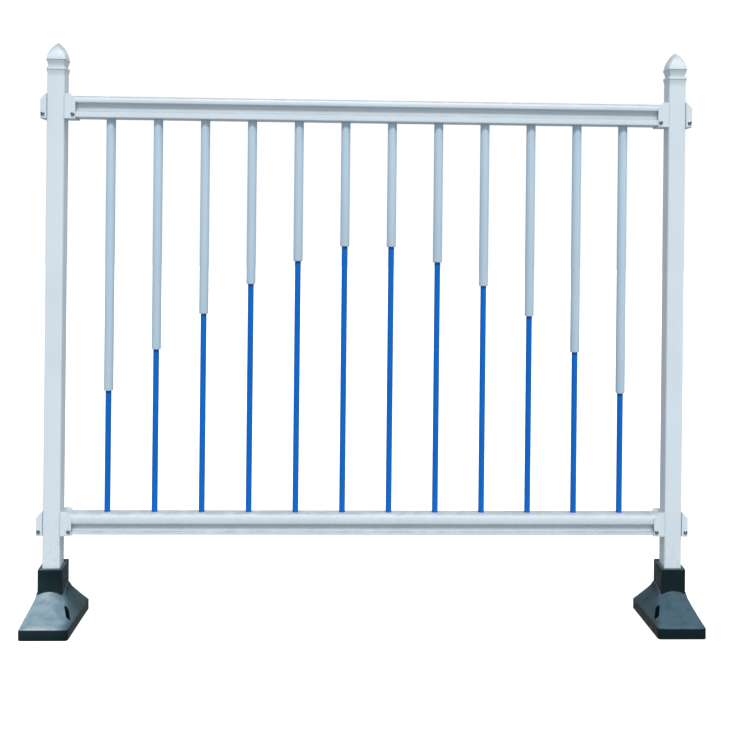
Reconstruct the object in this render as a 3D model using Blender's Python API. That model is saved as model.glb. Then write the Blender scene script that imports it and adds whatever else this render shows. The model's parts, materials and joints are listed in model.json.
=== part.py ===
"""Crowd control barrier: two square posts on cast feet, two rails and twelve balusters.

Units are metres, +Z is up and X runs along the barrier. The origin is on the ground, in the middle
of the barrier's footprint. Each foot has a long toe towards -Y and a shorter heel towards +Y, so the
plane of the posts lies at POST_PLANE_Y. The two feet are mirror images: wide towards the middle of the
barrier and straight on the outer side.
"""

from math import cos, pi, radians, sin

import bmesh
import bpy
from mathutils import Matrix, Vector

GAP = 0.0003  # between neighbouring pieces

# Feet
FOOT_TOE = 0.115
FOOT_HEEL = 0.100
FOOT_TOE_INNER = 0.061
FOOT_TOE_OUTER = 0.037
FOOT_BEND_INNER = (0.060, 0.060)
FOOT_BEND_OUTER = (0.045, 0.045)
FOOT_HEEL_HALF = 0.024
FOOT_PLATE = 0.0225
FOOT_EDGE = 0.0018
COLLAR_HALF = 0.0252
COLLAR_BACK = 0.031
COLLAR_FOOT_Z = 0.057
COLLAR_FOOT_RISE = 0.010
COLLAR_CROWN = 0.007
COLLAR_TOP = 0.1115
COLLAR_RISE = 0.0055
SOCKET_FLOOR = 0.045
ANCHOR_X = 0.0465
ANCHOR_Y = -0.062
ANCHOR_RADIUS = 0.0045
ANCHOR_LENGTH = 0.034
ANCHOR_TURN = radians(22)

# Posts and caps
POST_X = 0.648
POST_PLANE_Y = (FOOT_TOE - FOOT_HEEL) / 2
POST_HALF = 0.018
POST_WALL = 0.002
POST_CORNER = 0.003
POST_TOP = 1.1285
CAP_SPIGOT = 0.020
CAP_PROFILE = (  # half width and height above the post's end: a bead between two coves, then a flange
    (0.0174, 0.0),
    (0.0190, 0.0110),
    (0.0194, 0.0120),
    (0.0194, 0.0172),
    (0.0163, 0.0192),
    (0.0196, 0.0318),
    (0.0202, 0.0326),
    (0.0202, 0.0336),
    (0.0193, 0.0346),
)
CAP_DOME = 0.0345
CAP_DOME_POWER = 0.75

# Rails
RAIL_DEPTH = 0.034
RAIL_WALL = 0.0018
RAIL_SHOULDER = 0.008
RAIL_SINK_TOP = 0.0060
RAIL_SINK_BOTTOM = 0.0070
RAIL_LEDGE = 0.002
RAIL_FOOT_CORNER = 0.002
TOP_RAIL_BOTTOM = 1.0421
TOP_RAIL_HEIGHT = 0.0455
TOP_RAIL_BAND = (0.0140, 0.0310)
BOTTOM_RAIL_BOTTOM = 0.1810
BOTTOM_RAIL_HEIGHT = 0.0440
BOTTOM_RAIL_BAND = (0.0215, 0.0380)

# Balusters
BALUSTERS = 12
BALUSTER_PITCH = 0.0977
SLEEVE_RADIUS = 0.00975
SLEEVE_WALL = 0.0018
SLEEVE_NECK = 0.006
SLEEVE_INTO_RAIL = 0.010
ROD_RADIUS = 0.00625
ROD_WALL = 0.0015
ROD_OVERLAP = 0.060
ARCH_TOP = 0.788
ARCH_DROP = 0.311
ARCH_POWER = 1.62

# Brackets and fasteners
BRACKET_PLATE = 0.003
BRACKET_WALL = 0.0022
BRACKET_PLAY = 0.0004
BRACKET_REACH = {"inner": 0.0225, "outer": 0.0125}
BRACKET_ABOVE = 0.004
BRACKET_SLOPE = (0.011, 0.012)
BRACKET_EDGE = 0.0008
BOLT_RADIUS = 0.004
BOLT_HEAD_RADIUS = 0.008
BOLT_HEAD_HEIGHT = 0.0028
BOLT_END = 0.0015
NUT_FLATS = 0.013
NUT_HEIGHT = 0.0065
SCREW_RADIUS = 0.0022
SCREW_HEAD_RADIUS = 0.0042
SCREW_HEAD_HEIGHT = 0.0026
SCREW_FROM_MOUTH = 0.0052
SCREW_FROM_BOTTOM = 0.0072
SCREW_GRIP = 0.0052
SET_SCREW_Z = 0.090
SET_SCREW_RADIUS = 0.0038
SET_SCREW_FLATS = 0.012
SET_SCREW_HEAD = 0.004
HOLE_PLAY = 0.0004
DOMED_HEAD = ((1.0, 0.0), (1.0, 0.4), (0.80, 0.8), (0.42, 1.0))  # shares of its radius and height

ROUND = 16  # sides of a round piece
SMALL_ROUND = 12  # sides of a small round piece
SMOOTH_BELOW = radians(32)  # edges turning less than this are shaded smooth

POSTS = {"left": -1, "right": 1}
RAILS = {
    "top": (TOP_RAIL_BOTTOM, TOP_RAIL_HEIGHT),
    "bottom": (BOTTOM_RAIL_BOTTOM, BOTTOM_RAIL_HEIGHT),
}
BANDS = {"top": TOP_RAIL_BAND, "bottom": BOTTOM_RAIL_BAND}


def clear_scene():
    for item in list(bpy.data.objects):
        bpy.data.objects.remove(item)


def principled(name, color, roughness, metallic):
    """A plain surface of one colour."""
    material = bpy.data.materials.new(name)
    material.use_nodes = True
    shader = material.node_tree.nodes["Principled BSDF"]
    shader.inputs["Base Color"].default_value = (*color, 1.0)
    shader.inputs["Roughness"].default_value = roughness
    shader.inputs["Metallic"].default_value = metallic
    return material


def white_paint():
    return principled("white_paint", (0.74, 0.80, 0.86), 0.38, 0.0)


def blue_paint():
    return principled("blue_paint", (0.012, 0.115, 0.60), 0.35, 0.0)


def cast_iron():
    return principled("cast_iron", (0.035, 0.045, 0.052), 0.55, 0.6)


def zinc_steel():
    return principled("zinc_steel", (0.24, 0.27, 0.30), 0.40, 0.9)


def new_mesh(name, mesh_bm):
    """The mesh of a bmesh, with its faces pointing out and its round parts smooth."""
    bmesh.ops.recalc_face_normals(mesh_bm, faces=mesh_bm.faces)
    mesh = bpy.data.meshes.new(name)
    mesh_bm.to_mesh(mesh)
    mesh_bm.free()
    mesh.shade_smooth()
    mesh.set_sharp_from_angle(angle=SMOOTH_BELOW)
    return mesh


def place(name, mesh, material, parent, location=(0.0, 0.0, 0.0)):
    """A named piece at a place in its parent's frame."""
    piece = bpy.data.objects.new(name, mesh)
    bpy.context.scene.collection.objects.link(piece)
    if not mesh.materials:
        mesh.materials.append(material)
    piece.parent = parent
    piece.location = location
    return piece


def empty_at(name, location):
    empty = bpy.data.objects.new(name, None)
    bpy.context.scene.collection.objects.link(empty)
    empty.location = location
    return empty


def combine(piece, name, operation, other_mesh):
    """Combines the piece with another shape, given in the piece's own frame."""
    other = bpy.data.objects.new(name, other_mesh)
    bpy.context.scene.collection.objects.link(other)
    other.parent = piece
    other.hide_render = True
    other.display_type = "WIRE"
    modifier = piece.modifiers.new(name, "BOOLEAN")
    modifier.operation = operation
    modifier.solver = "EXACT"
    modifier.object = other


def cut(piece, name, cutter_mesh):
    combine(piece, name, "DIFFERENCE", cutter_mesh)


def join(piece, name, other_mesh):
    combine(piece, name, "UNION", other_mesh)


def loft(name, loops, ring=False):
    """A solid through loops of equally many points. A ring joins its last loop to its first."""
    mesh_bm = bmesh.new()
    rows = [[mesh_bm.verts.new(point) for point in loop] for loop in loops]
    pairs = list(zip(rows, rows[1:]))
    if ring:
        pairs.append((rows[-1], rows[0]))
    else:
        mesh_bm.faces.new(rows[0])
        mesh_bm.faces.new(rows[-1])
    for lower, upper in pairs:
        count = len(lower)
        for i in range(count):
            j = (i + 1) % count
            mesh_bm.faces.new((lower[i], lower[j], upper[j], upper[i]))
    return new_mesh(name, mesh_bm)


def circle(radius, z, sides=ROUND):
    """Points of a circle about Z, offset by half a side so that a flat faces each axis."""
    step = 2 * pi / sides
    return [(radius * cos((i + 0.5) * step), radius * sin((i + 0.5) * step), z) for i in range(sides)]


def rounded_square(half, corner, z):
    """Sixteen points of a square with rounded corners, in the same order as circle()."""
    points = []
    for quarter in range(4):
        turn = quarter * pi / 2
        sign_x = 1 if quarter in (0, 3) else -1
        sign_y = 1 if quarter in (0, 1) else -1
        centre = (sign_x * (half - corner), sign_y * (half - corner))
        for step in range(4):
            angle = turn + step * pi / 6
            points.append((centre[0] + corner * cos(angle), centre[1] + corner * sin(angle), z))
    return points


def hexagon(flats, z):
    """Points of a hexagon, flats being its width across two opposite sides."""
    radius = flats / 2 / cos(pi / 6)
    return [(radius * cos(i * pi / 3), radius * sin(i * pi / 3), z) for i in range(6)]


def rod_along(name, radius, start, end, axis):
    """A plain cylinder between two values on one axis, for cutting round holes."""
    turn = {"X": Matrix.Rotation(pi / 2, 4, "Y"), "Y": Matrix.Rotation(-pi / 2, 4, "X"), "Z": Matrix()}
    mesh = loft(name, [circle(radius, start), circle(radius, end)])
    mesh.transform(turn[axis])
    return mesh


def joined(name, meshes):
    """Several separate meshes as one, for a cutter that makes many holes."""
    mesh_bm = bmesh.new()
    for mesh in meshes:
        mesh_bm.from_mesh(mesh)
    return new_mesh(name, mesh_bm)


def block(name, low, high):
    """A box between two corners."""
    corners = [(low[0], low[1]), (high[0], low[1]), (high[0], high[1]), (low[0], high[1])]
    return loft(name, [[(x, y, z) for x, y in corners] for z in (low[2], high[2])])


# ---- feet ---------------------------------------------------------------------------------------


def foot_outline(inwards, inset, z):
    """Sixteen points round the foot's plate: toe, inner side, heel, outer side."""
    toe_outer = Vector((-inwards * FOOT_TOE_OUTER, -FOOT_TOE))
    toe_inner = Vector((inwards * FOOT_TOE_INNER, -FOOT_TOE))
    bend_inner = Vector((inwards * FOOT_BEND_INNER[0], FOOT_BEND_INNER[1]))
    bend_outer = Vector((-inwards * FOOT_BEND_OUTER[0], FOOT_BEND_OUTER[1]))
    heel_inner = Vector((inwards * FOOT_HEEL_HALF, FOOT_HEEL))
    heel_outer = Vector((-inwards * FOOT_HEEL_HALF, FOOT_HEEL))
    points = [toe_outer.lerp(toe_inner, i / 4) for i in range(4)]
    points += [toe_inner.lerp(bend_inner, i / 4) for i in range(4)]
    points += [bend_inner, heel_inner, (heel_inner + heel_outer) / 2, heel_outer]
    points += [bend_outer.lerp(toe_outer, i / 4) for i in range(4)]
    return [(*(p * (1 - inset / p.length)), z) for p in points]


def collar_outline(inwards, half, back, z, rise=0.0, crown=0.0):
    """Sixteen points round the collar, in foot_outline's order: higher at the back and mid-side."""
    side = inwards * half
    corners = [Vector((-side, -half)), Vector((side, -half)), Vector((side, back)), Vector((-side, back))]
    points = []
    for start in range(4):
        for i in range(4):
            along = i / 4
            place_xy = corners[start].lerp(corners[(start + 1) % 4], along)
            lift = crown * (1 - (2 * along - 1) ** 2)
            lift += rise * (place_xy.y + COLLAR_HALF) / (COLLAR_BACK + COLLAR_HALF)
            points.append((*place_xy, z + lift))
    return points


def foot_mesh(inwards):
    """A six-sided plate with sloping flanks that rise to a square collar with a blind socket."""
    socket = POST_HALF + GAP
    rim = socket + FOOT_EDGE / 2
    below = COLLAR_TOP - FOOT_EDGE
    loops = [
        foot_outline(inwards, FOOT_EDGE, 0.0),
        foot_outline(inwards, 0.0, FOOT_EDGE),
        foot_outline(inwards, 0.0, FOOT_PLATE - FOOT_EDGE),
        foot_outline(inwards, FOOT_EDGE, FOOT_PLATE),
        collar_outline(inwards, COLLAR_HALF, COLLAR_BACK, COLLAR_FOOT_Z, COLLAR_FOOT_RISE, COLLAR_CROWN),
        collar_outline(inwards, COLLAR_HALF, COLLAR_BACK, below, COLLAR_RISE),
        collar_outline(inwards, COLLAR_HALF - FOOT_EDGE, COLLAR_BACK - FOOT_EDGE, COLLAR_TOP, COLLAR_RISE),
        collar_outline(inwards, rim, rim, COLLAR_TOP, COLLAR_RISE),
        collar_outline(inwards, socket, socket, below, COLLAR_RISE),
        collar_outline(inwards, socket, socket, SOCKET_FLOOR),
    ]
    return loft("foot", loops)


def anchor_slot(inwards):
    """A slot with round ends for a bolt into the ground, along the ridge on the foot's inner side."""
    straight = ANCHOR_LENGTH / 2 - ANCHOR_RADIUS
    loops = []
    for z in (-FOOT_EDGE, COLLAR_TOP):
        loops.append([(x, y + (straight if y > 0 else -straight), z) for x, y, z in circle(ANCHOR_RADIUS, z)])
    slot = loft("anchor_slot", loops)
    slot.transform(Matrix.Rotation(inwards * ANCHOR_TURN, 4, "Z"))
    slot.transform(Matrix.Translation((inwards * ANCHOR_X, ANCHOR_Y, 0.0)))
    return slot


def make_foot(side, sign, slide, material):
    foot = place(f"{side}_foot", foot_mesh(-sign), material, slide)
    cut(foot, f"{side}_anchor_slot", anchor_slot(-sign))
    hole = rod_along("set_screw_hole", SET_SCREW_RADIUS + HOLE_PLAY, POST_HALF - GAP, 2 * COLLAR_BACK, "Y")
    hole.transform(Matrix.Translation((0.0, 0.0, SET_SCREW_Z)))
    cut(foot, f"{side}_set_screw_hole", hole)


def set_screw_mesh():
    """A short hexagon-headed screw along +Y, its tip just clear of the post."""
    tip = POST_HALF + 2 * GAP
    under_head = COLLAR_BACK + GAP
    shank = loft("shank", [circle(SET_SCREW_RADIUS, tip), circle(SET_SCREW_RADIUS, under_head + GAP)])
    head = loft("head", [hexagon(SET_SCREW_FLATS, z) for z in (under_head, under_head + SET_SCREW_HEAD)])
    return shank, head


def make_set_screw(side, slide, material):
    shank, head = set_screw_mesh()
    for mesh in (shank, head):
        mesh.transform(Matrix.Rotation(-pi / 2, 4, "X"))
    screw = place(f"{side}_foot_set_screw", head, material, slide, (0.0, 0.0, SET_SCREW_Z))
    join(screw, f"{side}_set_screw_shank", shank)


# ---- posts and caps -----------------------------------------------------------------------------


def post_mesh():
    inner_half = POST_HALF - POST_WALL
    inner_corner = POST_CORNER - POST_WALL / 2
    low = SOCKET_FLOOR + GAP
    return loft(
        "post",
        [
            rounded_square(POST_HALF, POST_CORNER, low),
            rounded_square(POST_HALF, POST_CORNER, POST_TOP),
            rounded_square(inner_half, inner_corner, POST_TOP),
            rounded_square(inner_half, inner_corner, low),
        ],
        ring=True,
    )


def make_post(side, sign, frame, material):
    post = place(f"{side}_post", post_mesh(), material, frame, (sign * POST_X, 0.0, 0.0))
    holes = []
    for bottom, height in RAILS.values():
        hole = rod_along("bolt_hole", BOLT_RADIUS + HOLE_PLAY, -2 * POST_HALF, 2 * POST_HALF, "X")
        hole.transform(Matrix.Translation((0.0, 0.0, bottom + height / 2)))
        holes.append(hole)
    cut(post, f"{side}_post_bolt_holes", joined("bolt_holes", holes))


def cap_mesh():
    """A moulded cap with a square dome, and a spigot below it that fits into the post."""
    spigot_half = POST_HALF - POST_WALL - GAP
    base = POST_TOP + GAP
    loops = [
        rounded_square(spigot_half, POST_CORNER - POST_WALL / 2, base - CAP_SPIGOT),
        rounded_square(spigot_half, POST_CORNER - POST_WALL / 2, base),
    ]
    for half, up in CAP_PROFILE:
        loops.append(rounded_square(half, POST_CORNER, base + up))
    dome_half, dome_up = CAP_PROFILE[-1]
    for share in (0.15, 0.32, 0.50, 0.67, 0.82, 0.93):
        half = dome_half * (1 - share**2) ** CAP_DOME_POWER
        corner = POST_CORNER + (half - POST_CORNER) * share
        loops.append(rounded_square(half, corner, base + dome_up + CAP_DOME * share))
    loops.append(circle(dome_half / 12, base + dome_up + CAP_DOME))
    return loft("post_cap", loops)


# ---- rails --------------------------------------------------------------------------------------


def rail_flank(level, inset):
    """Points down one side of a rail's section: rounded shoulder, sunk band, ledge and lower corner."""
    height = RAILS[level][1]
    band_top, band_bottom = BANDS[level]
    half = RAIL_DEPTH / 2 - inset
    radius = RAIL_SHOULDER - inset
    points = []
    for degrees in (90, 60, 30, 0):
        angle = radians(degrees)
        points.append((half - radius + radius * cos(angle), -RAIL_SHOULDER + radius * sin(angle)))
    points.append((half, inset - band_top))
    points.append((half - RAIL_SINK_TOP, inset - band_top - GAP))
    points.append((half - RAIL_SINK_BOTTOM, -band_bottom - inset))
    points.append((half, -band_bottom - RAIL_LEDGE - inset))
    points.append((half, inset + RAIL_FOOT_CORNER - height))
    points.append((half - RAIL_FOOT_CORNER, inset - height))
    return points


def rail_section(level, inset, x, top):
    flank = rail_flank(level, inset)
    near = [(x, -y, top + z) for y, z in flank]
    far = [(x, y, top + z) for y, z in reversed(flank)]
    return near + far


def make_rail(level, frame, material):
    bottom, height = RAILS[level]
    end = POST_X - POST_HALF - BRACKET_PLATE - 3 * GAP
    top = bottom + height
    loops = [
        rail_section(level, 0.0, -end, top),
        rail_section(level, 0.0, end, top),
        rail_section(level, RAIL_WALL, end, top),
        rail_section(level, RAIL_WALL, -end, top),
    ]
    rail = place(f"{level}_rail", loft(f"{level}_rail", loops, ring=True), material, frame)
    if level == "top":
        radius, low, high = SLEEVE_RADIUS, bottom - RAIL_WALL, bottom + 2 * RAIL_WALL
    else:
        radius, low, high = ROD_RADIUS, top - 2 * RAIL_WALL, top + RAIL_WALL
    cutters = []
    for x in baluster_places():
        hole = rod_along("baluster_hole", radius + HOLE_PLAY, low, high, "Z")
        hole.transform(Matrix.Translation((x, 0.0, 0.0)))
        cutters.append(hole)
    cut(rail, f"{level}_rail_baluster_holes", joined("baluster_holes", cutters))
    cutters = []
    for sign in POSTS.values():
        hole = rod_along("screw_hole", SCREW_RADIUS + HOLE_PLAY, -RAIL_DEPTH, -RAIL_DEPTH / 4, "Y")
        x = sign * (POST_X - POST_HALF - BRACKET_REACH["inner"] + SCREW_FROM_MOUTH)
        hole.transform(Matrix.Translation((x, 0.0, bottom + SCREW_FROM_BOTTOM)))
        cutters.append(hole)
    cut(rail, f"{level}_rail_screw_holes", joined("screw_holes", cutters))


# ---- balusters ----------------------------------------------------------------------------------


def baluster_places():
    return [(i - (BALUSTERS - 1) / 2) * BALUSTER_PITCH for i in range(BALUSTERS)]


def sleeve_bottom(x):
    """Height at which the white sleeve ends: together the ends draw an arch."""
    reach = baluster_places()[-1]
    return ARCH_TOP - ARCH_DROP * (abs(x) / reach) ** ARCH_POWER


def sleeve_mesh(name, low):
    """A tube whose lower end is drawn in to hold the rod."""
    high = TOP_RAIL_BOTTOM + SLEEVE_INTO_RAIL
    inner = SLEEVE_RADIUS - SLEEVE_WALL
    neck = ROD_RADIUS + GAP
    loops = [
        circle(neck, low),
        circle(SLEEVE_RADIUS - SLEEVE_WALL / 2, low),
        circle(SLEEVE_RADIUS, low + SLEEVE_WALL / 2),
        circle(SLEEVE_RADIUS, high),
        circle(inner, high),
        circle(inner, low + SLEEVE_NECK + SLEEVE_WALL),
        circle(neck, low + SLEEVE_NECK),
    ]
    return loft(name, loops, ring=True)


def rod_mesh(name, sleeve_low):
    low = BOTTOM_RAIL_BOTTOM + RAIL_WALL + GAP
    high = sleeve_low + ROD_OVERLAP
    loops = [
        circle(ROD_RADIUS, low),
        circle(ROD_RADIUS, high),
        circle(ROD_RADIUS - ROD_WALL, high),
        circle(ROD_RADIUS - ROD_WALL, low),
    ]
    return loft(name, loops, ring=True)


def make_balusters(frame, white, blue):
    for number, x in enumerate(baluster_places(), start=1):
        low = sleeve_bottom(x)
        name = f"baluster_sleeve_{number:02d}"
        place(name, sleeve_mesh(name, low), white, frame, (x, 0.0, 0.0))
        name = f"baluster_rod_{number:02d}"
        place(name, rod_mesh(name, low), blue, frame, (x, 0.0, 0.0))


# ---- brackets and their fasteners ---------------------------------------------------------------


def bracket_half():
    return RAIL_DEPTH / 2 + BRACKET_PLAY + BRACKET_WALL


def bracket_mesh(name, height, reach, direction):
    """A block with a slanted top corner. x runs away from the post and z from the rail's middle."""
    half = bracket_half()
    low = -height / 2 - BRACKET_PLAY - BRACKET_WALL
    high = height / 2 + BRACKET_ABOVE
    along, down = BRACKET_SLOPE
    outline = [(0.0, low), (reach, low), (reach, high - down), (reach - along, high), (0.0, high)]
    near = [(direction * x, -half, z) for x, z in outline]
    far = [(direction * x, half, z) for x, z in outline]
    return loft(name, [near, far])


def make_bracket(side, sign, level, place_name, frame, material):
    """A bracket open at its top and its mouth, so that a rail's end drops into it."""
    bottom, height = RAILS[level]
    direction = -sign if place_name == "inner" else sign
    reach = BRACKET_REACH[place_name]
    name = f"{side}_{level}_{place_name}_bracket"
    face = sign * POST_X + direction * (POST_HALF + GAP)
    middle = bottom + height / 2
    mesh = bracket_mesh(name, height, reach, direction)
    bracket = place(name, mesh, material, frame, (face, 0.0, middle))
    bevel = bracket.modifiers.new("edges", "BEVEL")
    bevel.width = BRACKET_EDGE
    bevel.segments = 1
    hollow_half = RAIL_DEPTH / 2 + BRACKET_PLAY
    ends = sorted((direction * BRACKET_PLATE, direction * 2 * reach))
    low = (ends[0], -hollow_half, -height / 2 - BRACKET_PLAY)
    high = (ends[1], hollow_half, height)
    cut(bracket, f"{name}_socket", block("socket", low, high))
    hole = rod_along("bolt_hole", BOLT_RADIUS + HOLE_PLAY, -2 * BRACKET_PLATE, 2 * BRACKET_PLATE, "X")
    cut(bracket, f"{name}_bolt_hole", hole)
    hole = rod_along("screw_hole", SCREW_RADIUS + HOLE_PLAY, -2 * RAIL_DEPTH, -RAIL_DEPTH / 4, "Y")
    x = direction * (reach - SCREW_FROM_MOUTH)
    hole.transform(Matrix.Translation((x, 0.0, SCREW_FROM_BOTTOM - height / 2)))
    cut(bracket, f"{name}_screw_hole", hole)


def rail_screw_mesh(name, grip):
    """A round-headed screw, turned from along Z to have its head towards -Y and its shank towards +Y."""
    loops = [circle(SCREW_RADIUS, z, SMALL_ROUND) for z in (-grip, 0.0)]
    for across, up in DOMED_HEAD:
        loops.append(circle(SCREW_HEAD_RADIUS * across, SCREW_HEAD_HEIGHT * up, SMALL_ROUND))
    mesh = loft(name, loops)
    mesh.transform(Matrix.Rotation(pi / 2, 4, "X"))
    return mesh


def make_rail_screw(side, sign, level, place_name, frame, material):
    bottom = RAILS[level][0]
    direction = -sign if place_name == "inner" else sign
    reach = BRACKET_REACH[place_name]
    name = f"{side}_{level}_{place_name}_screw"
    x = sign * POST_X + direction * (POST_HALF + GAP + reach - SCREW_FROM_MOUTH)
    grip = SCREW_GRIP if place_name == "inner" else BRACKET_WALL
    place(
        name,
        rail_screw_mesh(name, grip),
        material,
        frame,
        (x, -bracket_half() - GAP, bottom + SCREW_FROM_BOTTOM),
    )


def bolt_mesh(name):
    """A bolt along Z through the post, its low round head below and its end above."""
    start = POST_HALF + BRACKET_PLATE + 2 * GAP
    end = start + NUT_HEIGHT + BOLT_END
    loops = []
    for across, up in reversed(DOMED_HEAD):
        loops.append(circle(BOLT_HEAD_RADIUS * across, -start - BOLT_HEAD_HEIGHT * up))
    loops += [
        circle(BOLT_RADIUS, -start),
        circle(BOLT_RADIUS, end - BOLT_END / 2),
        circle(BOLT_RADIUS - BOLT_END / 2, end),
    ]
    return loft(name, loops)


def nut_mesh(name):
    start = POST_HALF + BRACKET_PLATE + 2 * GAP
    flats = NUT_FLATS / 2
    outer = [hexagon(NUT_FLATS, z) for z in (start, start + NUT_HEIGHT)]
    radius = BOLT_RADIUS + HOLE_PLAY
    bore = [[(radius * x / flats, radius * y / flats, z) for x, y, z in loop] for loop in outer]
    return loft(name, [outer[0], outer[1], bore[1], bore[0]], ring=True)


def make_post_bolt(side, sign, level, frame, material):
    """The bolt that holds a post's outer and inner bracket, its nut inside the rail's open end."""
    bottom, height = RAILS[level]
    centre = (sign * POST_X, 0.0, bottom + height / 2)
    inwards = Matrix.Rotation(-sign * pi / 2, 4, "Y")
    for kind, maker in (("bolt", bolt_mesh), ("nut", nut_mesh)):
        name = f"{side}_{level}_post_{kind}"
        mesh = maker(name)
        mesh.transform(inwards)
        place(name, mesh, material, frame, centre)


def build():
    clear_scene()
    white = white_paint()
    blue = blue_paint()
    iron = cast_iron()
    zinc = zinc_steel()
    frame = empty_at("frame_origin", (0.0, POST_PLANE_Y, 0.0))
    for side, sign in POSTS.items():
        slide = empty_at(f"{side}_foot_slide", (sign * POST_X, POST_PLANE_Y, 0.0))
        make_foot(side, sign, slide, iron)
        make_set_screw(side, slide, zinc)
        make_post(side, sign, frame, white)
        place(f"{side}_post_cap", cap_mesh(), white, frame, (sign * POST_X, 0.0, 0.0))
        for level in RAILS:
            make_post_bolt(side, sign, level, frame, zinc)
            for place_name in BRACKET_REACH:
                make_bracket(side, sign, level, place_name, frame, white)
                make_rail_screw(side, sign, level, place_name, frame, zinc)
    for level in RAILS:
        make_rail(level, frame, white)
    make_balusters(frame, white, blue)


build()
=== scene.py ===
"""Looks of the crowd control barrier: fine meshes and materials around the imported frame.

Units are metres in the frame's own axes: +Z up, X along the barrier, and the feet's toes towards -Y.
"""

import json
from math import atan2, ceil, cos, pi, radians, sin, tan

import bmesh
import bpy
from mathutils import Matrix, Vector


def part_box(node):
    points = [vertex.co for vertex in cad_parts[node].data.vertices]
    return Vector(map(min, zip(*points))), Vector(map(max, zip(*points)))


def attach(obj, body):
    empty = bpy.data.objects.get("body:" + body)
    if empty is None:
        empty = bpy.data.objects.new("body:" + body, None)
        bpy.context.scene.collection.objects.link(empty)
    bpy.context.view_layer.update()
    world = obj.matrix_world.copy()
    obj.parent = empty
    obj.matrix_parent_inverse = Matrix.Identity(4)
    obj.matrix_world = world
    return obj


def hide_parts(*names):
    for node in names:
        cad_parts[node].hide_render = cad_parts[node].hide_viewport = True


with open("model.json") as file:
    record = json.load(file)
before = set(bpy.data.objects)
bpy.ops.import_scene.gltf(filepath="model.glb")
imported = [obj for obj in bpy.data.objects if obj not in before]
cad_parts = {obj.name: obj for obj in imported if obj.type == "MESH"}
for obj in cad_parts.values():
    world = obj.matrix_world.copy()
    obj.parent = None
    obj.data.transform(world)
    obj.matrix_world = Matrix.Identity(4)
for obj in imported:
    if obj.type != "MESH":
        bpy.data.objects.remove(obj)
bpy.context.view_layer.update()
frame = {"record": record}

SIDES = {"left": -1, "right": 1}
LEVELS = ("top", "bottom")
BALUSTERS = range(1, 13)
ROUND = 48  # sides of a round tube
SMALL_ROUND = 32  # sides of a small screw or hole
ARC = 6  # steps round a small corner
GAP = 0.0003
FLAT_ANGLE = radians(35)  # faces that meet at less than this are shaded as one

# Feet, measured from the post's axis; the inner side faces the middle of the barrier
FOOT_TOE_INNER = 0.061
FOOT_TOE_OUTER = 0.037
FOOT_BEND_INNER = (0.060, 0.060)
FOOT_BEND_OUTER = (0.045, 0.045)
FOOT_HEEL_HALF = 0.024
FOOT_PLATE = 0.0225
FOOT_BOTTOM_EDGE = 0.0015
FOOT_TOP_EDGE = 0.0026
FOOT_CORNER = 0.0065
FOOT_FILLET = 0.004
FOOT_FLANK_SAG = 0.0010
COLLAR_HALF = 0.0252
COLLAR_BACK = 0.031
COLLAR_FOOT_Z = 0.057
COLLAR_FOOT_RISE = 0.010
COLLAR_CROWN = 0.007
COLLAR_TOP = 0.1115
COLLAR_RISE = 0.0055
COLLAR_CORNER = 0.003
COLLAR_EDGE = 0.0018
COLLAR_BACK_STEP = 0.0012
PLATE_SIDE_STEPS = 8
FLANK_STEPS = 7
FLANK_REACH = 0.98  # share of the way to the collar that a flank covers before its fillet
FLANK_DROP = 0.3  # how far below the fillet's start it ends, as a share of the fillet
FILLET_ANGLES = (20, 45, 70, 90)
SOCKET_FLOOR = 0.045
SET_SCREW_HOLE = (-0.0145, 0.010)  # from and to, measured from the collar's back
SLOT_AT = (0.0465, -0.062)
SLOT_RADIUS = 0.0045
SLOT_LENGTH = 0.034
SLOT_TURN = radians(22)

# Posts and caps
POST_WALL = 0.002
POST_CORNER = 0.0032
CAP_CORNER = 0.003
CAP_SPIGOT_CORNER = 0.002
CAP_LOWER_COVE = ((0.0174, 0.0), (0.0190, 0.0110))  # half width and height above the post's end
CAP_BEAD = (0.0194, 0.0113, 0.0178)
CAP_UPPER_COVE = ((0.0163, 0.0190), (0.0196, 0.0318))
CAP_FLANGE = (0.0202, 0.0322, 0.0346)
CAP_COVE_POWER = 1.4
CAP_DOME_HALF = 0.0193
CAP_DOME_POWER = 0.75
CAP_DOME_STEPS = 18
CAP_TIP_RADIUS = 0.0006
CAP_EDGE = 0.0010

# Rails
RAIL_WALL = 0.0018
RAIL_SHOULDER = 0.008
RAIL_BANDS = {"top": (0.0140, 0.0310), "bottom": (0.0215, 0.0380)}
RAIL_SINK_TOP = 0.0060
RAIL_SINK_BOTTOM = 0.0070
RAIL_LEDGE = 0.002
RAIL_FOOT_CORNER = 0.002

# Balusters
SLEEVE_WALL = 0.0018
SLEEVE_NECK = 0.006
SLEEVE_EDGE = 0.0012
ROD_WALL = 0.0015

# Brackets and fasteners
BRACKET_PLATE = 0.003
BRACKET_WALL = 0.0022
BRACKET_SLOPE = (0.011, 0.012)
BRACKET_PLAY = 0.0004
BRACKET_EDGE = 0.0009
BOLT_RADIUS = 0.004
BOLT_RECESS = ((0.0052, 0.30), (0.0054, 2.0))  # across the flats, and height as a share of the head's
THREAD_LENGTH = 0.0095
THREAD_PITCH = 0.00125
THREAD_DEPTH = 0.00045
THREAD_RUN_OUT = 0.0012
BOLT_END = (0.0007, 0.82)  # length of the tapered end, and its radius as a share of the bolt's
NUT_CHAMFER = 0.0008
NUT_FACE = 0.97
SCREW_RADIUS = 0.0022
SCREW_RECESS = ((0.0030, 0.45), (0.0032, 2.0))
SET_SCREW_RADIUS = 0.0038
SET_SCREW_FLATS = 0.012
SET_SCREW_FACE = 0.96
SET_SCREW_TIP = 0.86
HEAD_STEPS = 8
HEAD_FOOT = (0.97, 0.12)  # a domed head's share of its radius at its seat, and of its height just above
HEAD_RIM = 0.40  # share of a domed head's height below its dome
HEAD_POWER = 0.8
HOLE_PLAY = 0.0004

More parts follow.
